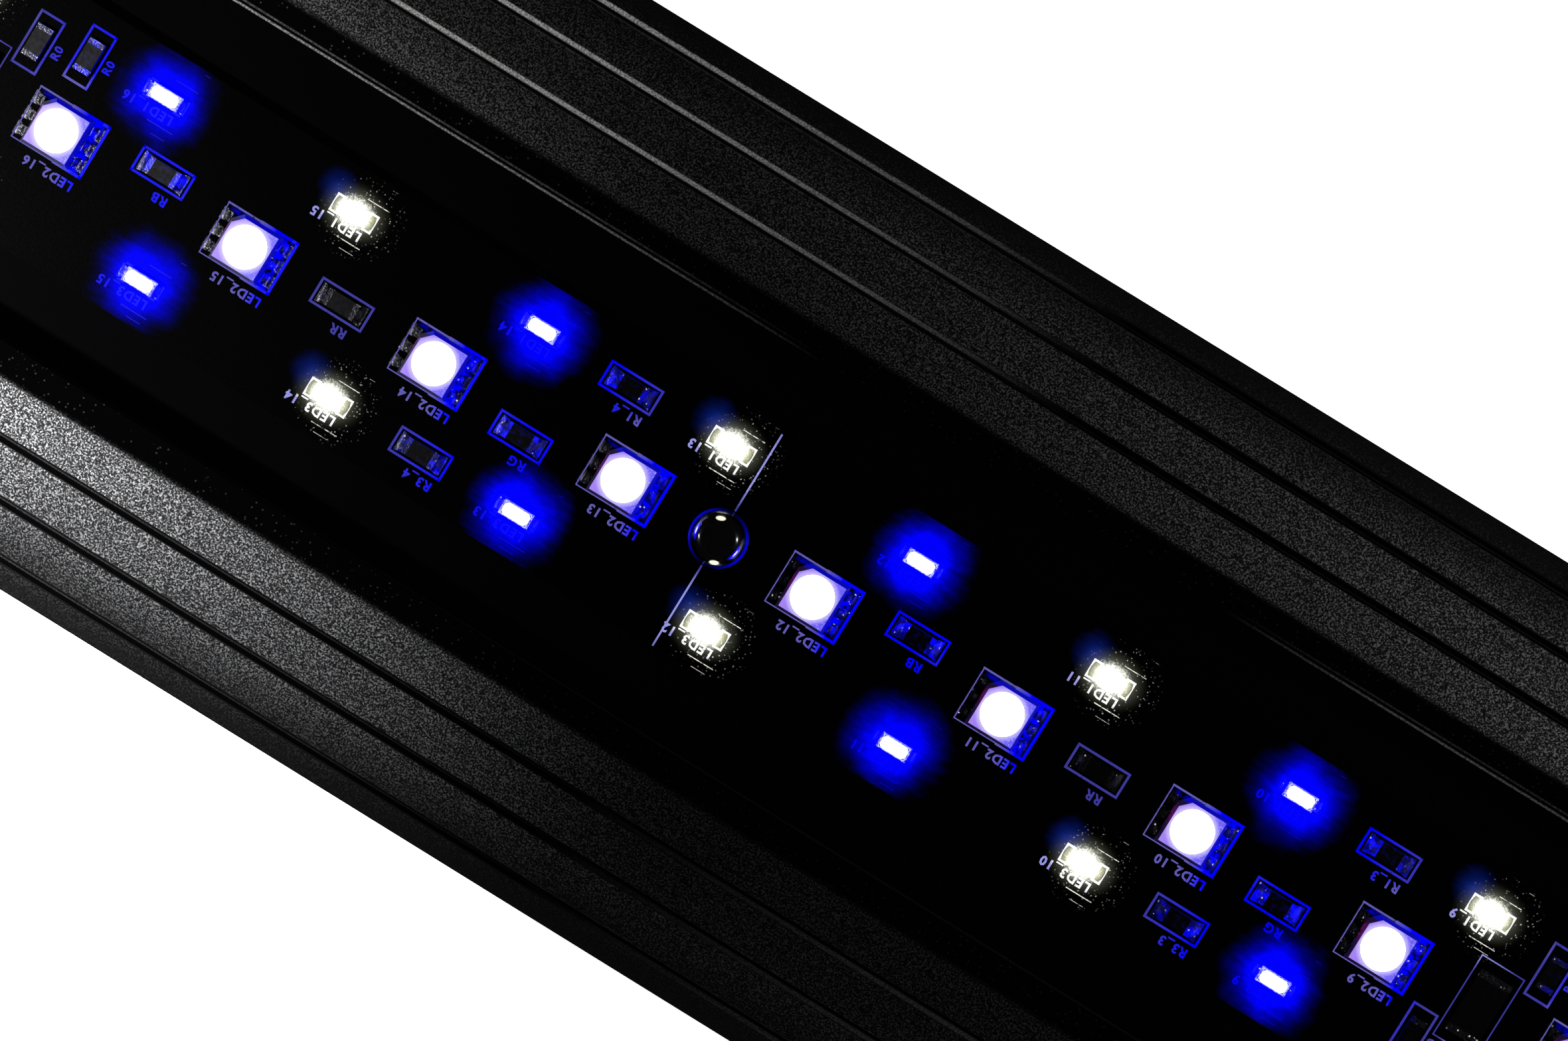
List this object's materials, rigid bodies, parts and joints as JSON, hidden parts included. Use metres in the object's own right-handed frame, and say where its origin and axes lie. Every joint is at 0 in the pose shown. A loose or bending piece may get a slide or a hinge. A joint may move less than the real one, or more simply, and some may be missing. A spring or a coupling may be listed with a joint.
{
  "type": "led aquarium light",
  "caption": "Slim black aluminium LED light for an aquarium, with clear-covered rows of colour, white and blue LEDs and sliding wire brackets that rest on the tank rim.",
  "frame": {"origin": "centre of the base: the middle of the flat back that the light lies on, lit side up", "axes": "+X along the light towards the end with the power socket, +Y across it, +Z out of the lit side; in use the light is turned over so that +Z points down at the water"},
  "size_m": [0.6012, 0.0762, 0.0305],
  "materials": {
    "black_powder_coat": "black powder coat on an aluminium extrusion, fine texture, satin",
    "clear_acrylic": "clear, polished",
    "seal_silicone": "soft, matte",
    "thermal_grey": "soft, matte",
    "black_solder_mask": "satin solder mask",
    "black_oxide_steel": "glossy black finish",
    "led_package": "moulded white plastic",
    "tinned_metal": "bright tin",
    "colour_led_glow": "lit diffusing window",
    "white_led_glow": "lit phosphor",
    "blue_led_glow": "lit clear blue",
    "chip_ceramic": "black glazed top",
    "connector_plastic": "moulded",
    "brass": "bright",
    "red_insulation": "smooth",
    "black_insulation": "smooth",
    "socket_plastic": "moulded",
    "contact_metal": "nickel plated",
    "cap_plastic": "fine moulded grain",
    "gasket_silicone": "soft, matte",
    "stainless_rod": "polished stainless steel",
    "bush_nylon": "natural nylon",
    "block_nylon": "moulded",
    "foot_silicone": "soft, matte"
  },
  "bodies": {
    "fixture": {"housing": "black_powder_coat", "cover_lens": "clear_acrylic", "cover_seals": "seal_silicone", "thermal_pad": "thermal_grey", "circuit_board": "black_solder_mask", "board_screws": "black_oxide_steel", "colour_led_packages": "led_package", "colour_led_windows": "colour_led_glow", "colour_led_leads": "tinned_metal", "white_led_packages": "led_package", "white_led_windows": "white_led_glow", "blue_led_packages": "led_package", "blue_led_windows": "blue_led_glow", "side_led_tabs": "tinned_metal", "resistor_bodies": "chip_ceramic", "resistor_ends": "tinned_metal", "jumper_bodies": "chip_ceramic", "jumper_ends": "tinned_metal", "board_connector": "connector_plastic", "connector_pins": "tinned_metal", "wire_red": "red_insulation", "wire_black": "black_insulation", "socket_body": "socket_plastic", "socket_sleeve": "contact_metal", "socket_pin": "brass", "socket_seal": "gasket_silicone", "socket_tails": "tinned_metal", "end_cap_left": "cap_plastic", "end_gasket_left": "gasket_silicone", "cap_screws_left": "black_oxide_steel", "guide_bushes_left": "bush_nylon", "end_cap_right": "cap_plastic", "end_gasket_right": "gasket_silicone", "cap_screws_right": "black_oxide_steel", "guide_bushes_right": "bush_nylon"},
    "sliding_bracket_left": {"bracket_left": "stainless_rod", "slider_blocks_left": "block_nylon", "foot_sleeve_left": "foot_silicone"},
    "sliding_bracket_right": {"bracket_right": "stainless_rod", "slider_blocks_right": "block_nylon", "foot_sleeve_right": "foot_silicone"}
  },
  "joints": [
    {"name": "bracket_right_slide", "type": "slide", "parent": "fixture", "child": "sliding_bracket_right", "axis": [1, 0, 0], "range_m": [0, 0.0752]},
    {"name": "bracket_left_slide", "type": "slide", "parent": "fixture", "child": "sliding_bracket_left", "axis": [-1, 0, 0], "range_m": [0, 0.0752]}
  ]
}
